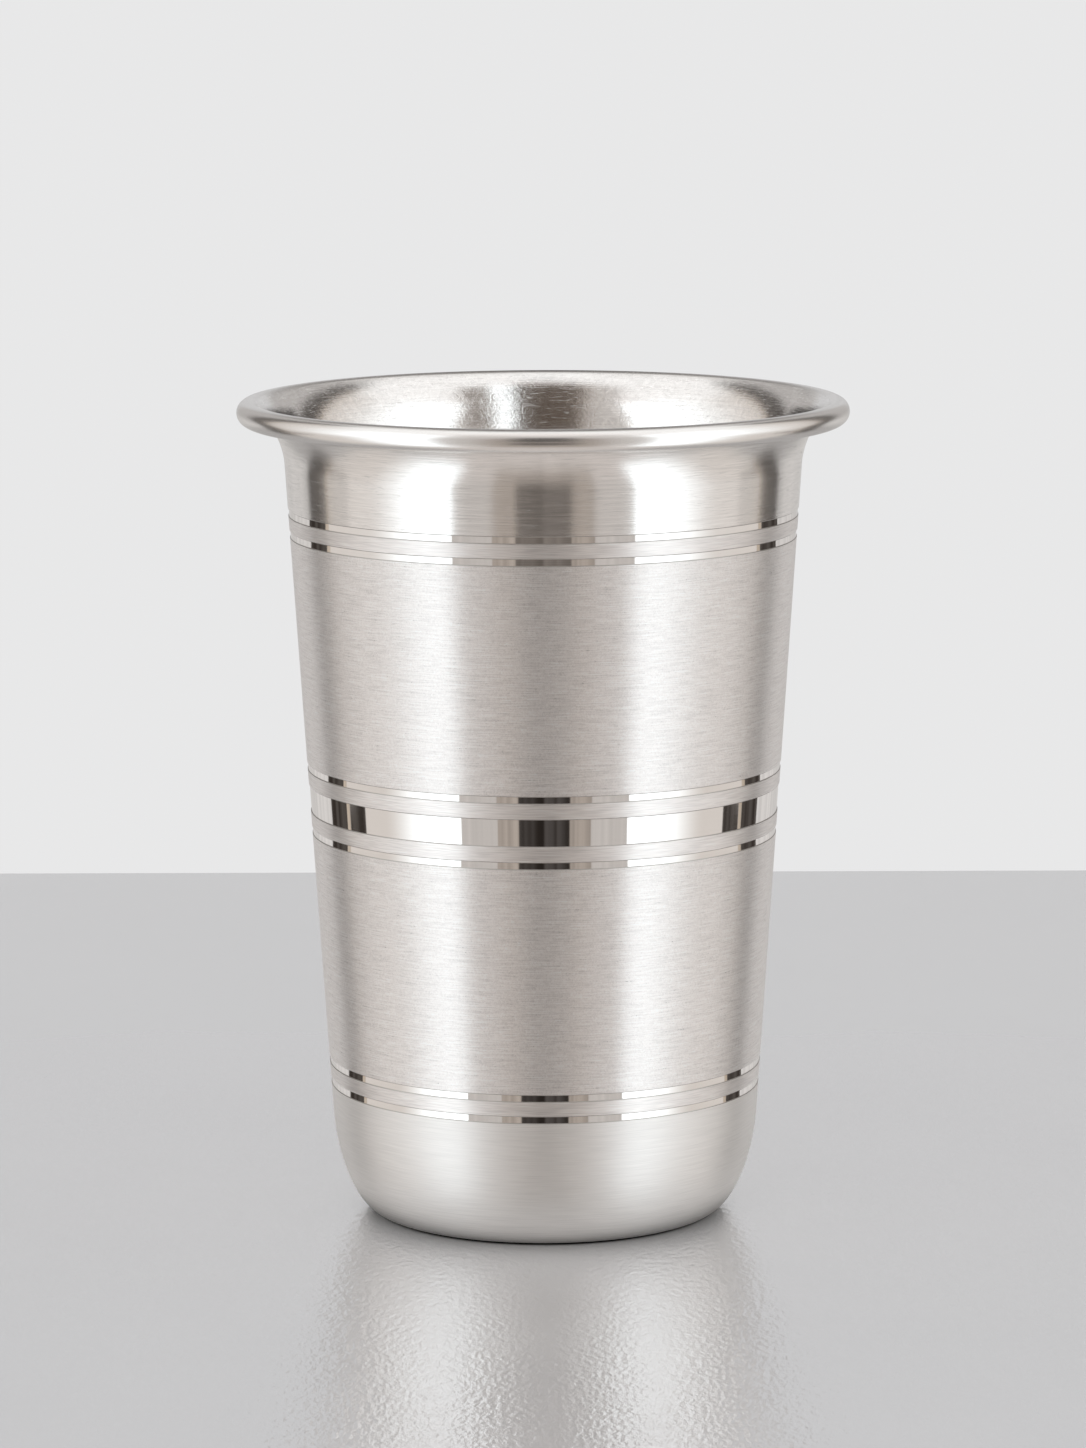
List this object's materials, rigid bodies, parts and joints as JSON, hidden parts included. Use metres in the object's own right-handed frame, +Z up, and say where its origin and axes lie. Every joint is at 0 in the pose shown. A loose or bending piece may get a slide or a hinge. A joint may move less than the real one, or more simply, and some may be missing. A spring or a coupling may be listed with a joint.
{
  "type": "metal tumbler",
  "caption": "Tapered satin metal drinking tumbler with a flared, curled rim, bright-cut rings round the wall and a rounded heel.",
  "frame": {"origin": "centre of the foot, on the surface that the tumbler stands on", "axes": "+Z up along the tumbler's axis; X and Y are alike because the form is turned"},
  "size_m": [0.0742, 0.0742, 0.1],
  "materials": {
    "satin_metal": "satin",
    "drawn_wire": "satin",
    "solder": "matte"
  },
  "bodies": {
    "root": {"base_cup": "satin_metal", "solder_seam": "solder", "tumbler_wall": "satin_metal", "rim_wire": "drawn_wire"}
  },
  "joints": []
}
